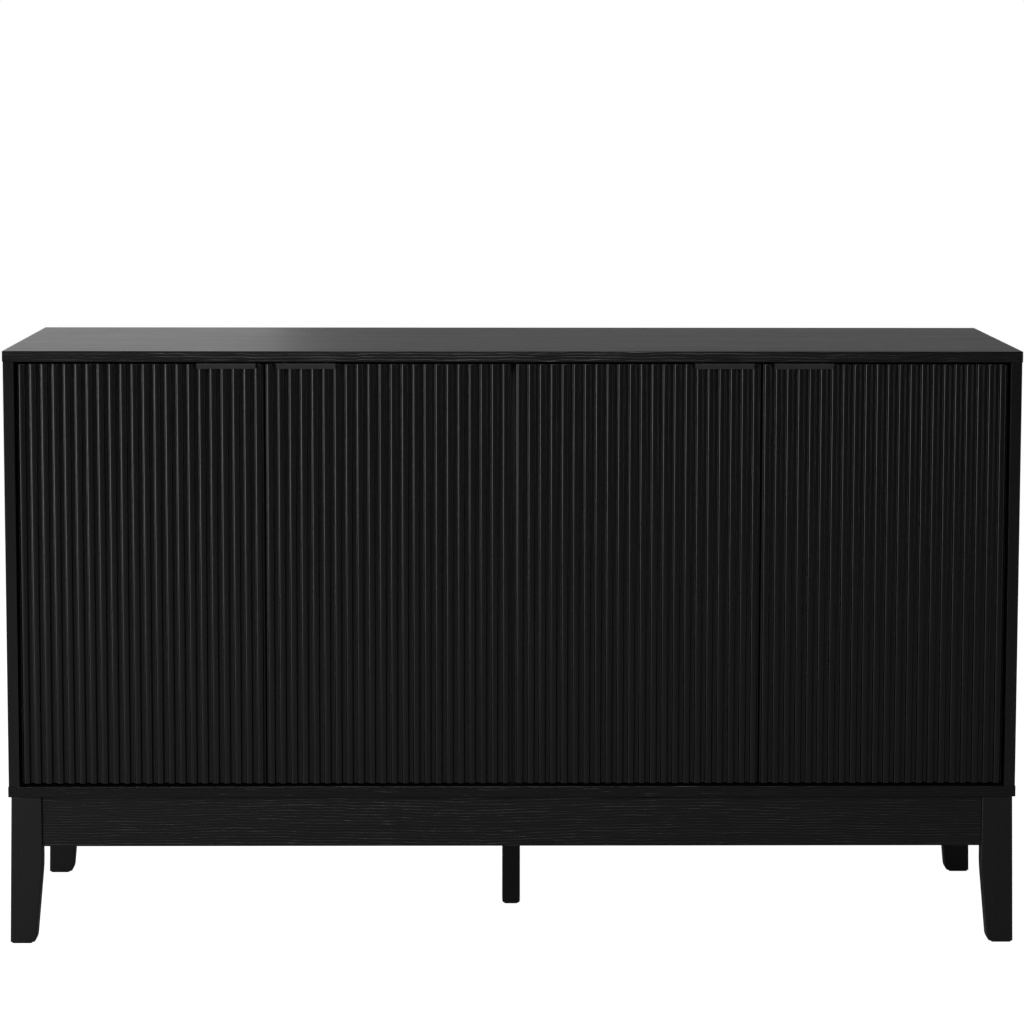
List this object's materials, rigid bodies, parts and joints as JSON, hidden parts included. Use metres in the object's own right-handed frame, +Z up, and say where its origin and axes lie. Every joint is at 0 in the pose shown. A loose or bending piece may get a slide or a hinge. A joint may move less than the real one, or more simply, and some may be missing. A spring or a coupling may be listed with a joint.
{
  "type": "sideboard",
  "caption": "Low black wood-grain sideboard with reeded hinged doors, edge pulls, adjustable shelves and a splayed-leg base.",
  "frame": {"origin": "on the floor, under the middle of the top board", "axes": "+Z up, +Y towards the back, +X towards the right seen from the front, so the doors face -Y"},
  "size_m": [1.4, 0.4, 0.83],
  "materials": {
    "black_wood": "black stained wood-grain laminate, satin",
    "leg_wood": "black painted solid wood, satin",
    "interior": "black wood-grain laminate, matt",
    "back_board": "thin black fibreboard, matt",
    "black_metal": "matt black powder coat",
    "nickel_steel": "nickel plated pressed steel",
    "zinc_steel": "zinc plated pressed steel",
    "glide_plastic": "black plastic, matt"
  },
  "bodies": {
    "carcass": {"apron_back": "black_wood", "apron_front": "black_wood", "apron_left": "black_wood", "apron_right": "black_wood", "back_panel_left": "back_board", "back_panel_right": "back_board", "bottom_panel": "black_wood", "centre_divider": "interior", "centre_leg": "leg_wood", "centre_stretcher": "leg_wood", "corner_bracket_back_left": "zinc_steel", "corner_bracket_back_right": "zinc_steel", "corner_bracket_front_left": "zinc_steel", "corner_bracket_front_right": "zinc_steel", "glide_back_left": "glide_plastic", "glide_back_right": "glide_plastic", "glide_centre": "glide_plastic", "glide_front_left": "glide_plastic", "glide_front_right": "glide_plastic", "hinge_arm_left_inner_lower": "nickel_steel", "hinge_arm_left_inner_upper": "nickel_steel", "hinge_arm_left_outer_lower": "nickel_steel", "hinge_arm_left_outer_upper": "nickel_steel", "hinge_arm_right_inner_lower": "nickel_steel", "hinge_arm_right_inner_upper": "nickel_steel", "hinge_arm_right_outer_lower": "nickel_steel", "hinge_arm_right_outer_upper": "nickel_steel", "left_side_panel": "black_wood", "leg_back_left": "leg_wood", "leg_back_right": "leg_wood", "leg_front_left": "leg_wood", "leg_front_right": "leg_wood", "right_side_panel": "black_wood", "shelf_left": "interior", "shelf_pin_left_inner_back": "nickel_steel", "shelf_pin_left_inner_front": "nickel_steel", "shelf_pin_left_outer_back": "nickel_steel", "shelf_pin_left_outer_front": "nickel_steel", "shelf_pin_right_inner_back": "nickel_steel", "shelf_pin_right_inner_front": "nickel_steel", "shelf_pin_right_outer_back": "nickel_steel", "shelf_pin_right_outer_front": "nickel_steel", "shelf_right": "interior", "top_panel": "black_wood"},
    "left_outer_door": {"door_left_outer": "black_wood", "hinge_cup_left_outer_lower": "nickel_steel", "hinge_cup_left_outer_upper": "nickel_steel", "pull_left_outer": "black_metal"},
    "left_inner_door": {"door_left_inner": "black_wood", "hinge_cup_left_inner_lower": "nickel_steel", "hinge_cup_left_inner_upper": "nickel_steel", "pull_left_inner": "black_metal"},
    "right_inner_door": {"door_right_inner": "black_wood", "hinge_cup_right_inner_lower": "nickel_steel", "hinge_cup_right_inner_upper": "nickel_steel", "pull_right_inner": "black_metal"},
    "right_outer_door": {"door_right_outer": "black_wood", "hinge_cup_right_outer_lower": "nickel_steel", "hinge_cup_right_outer_upper": "nickel_steel", "pull_right_outer": "black_metal"}
  },
  "joints": [
    {"name": "left_outer_hinge", "type": "hinge", "parent": "carcass", "child": "left_outer_door", "pos_m": [-0.6647, -0.184, 0.5192], "axis": [0, 0, -1], "range_deg": [0, 100]},
    {"name": "left_inner_hinge", "type": "hinge", "parent": "carcass", "child": "left_inner_door", "pos_m": [-0.019, -0.184, 0.5192], "axis": [0, 0, 1], "range_deg": [0, 90]},
    {"name": "right_inner_hinge", "type": "hinge", "parent": "carcass", "child": "right_inner_door", "pos_m": [0.019, -0.184, 0.5192], "axis": [0, 0, -1], "range_deg": [0, 90]},
    {"name": "right_outer_hinge", "type": "hinge", "parent": "carcass", "child": "right_outer_door", "pos_m": [0.6647, -0.184, 0.5192], "axis": [0, 0, 1], "range_deg": [0, 100]}
  ]
}
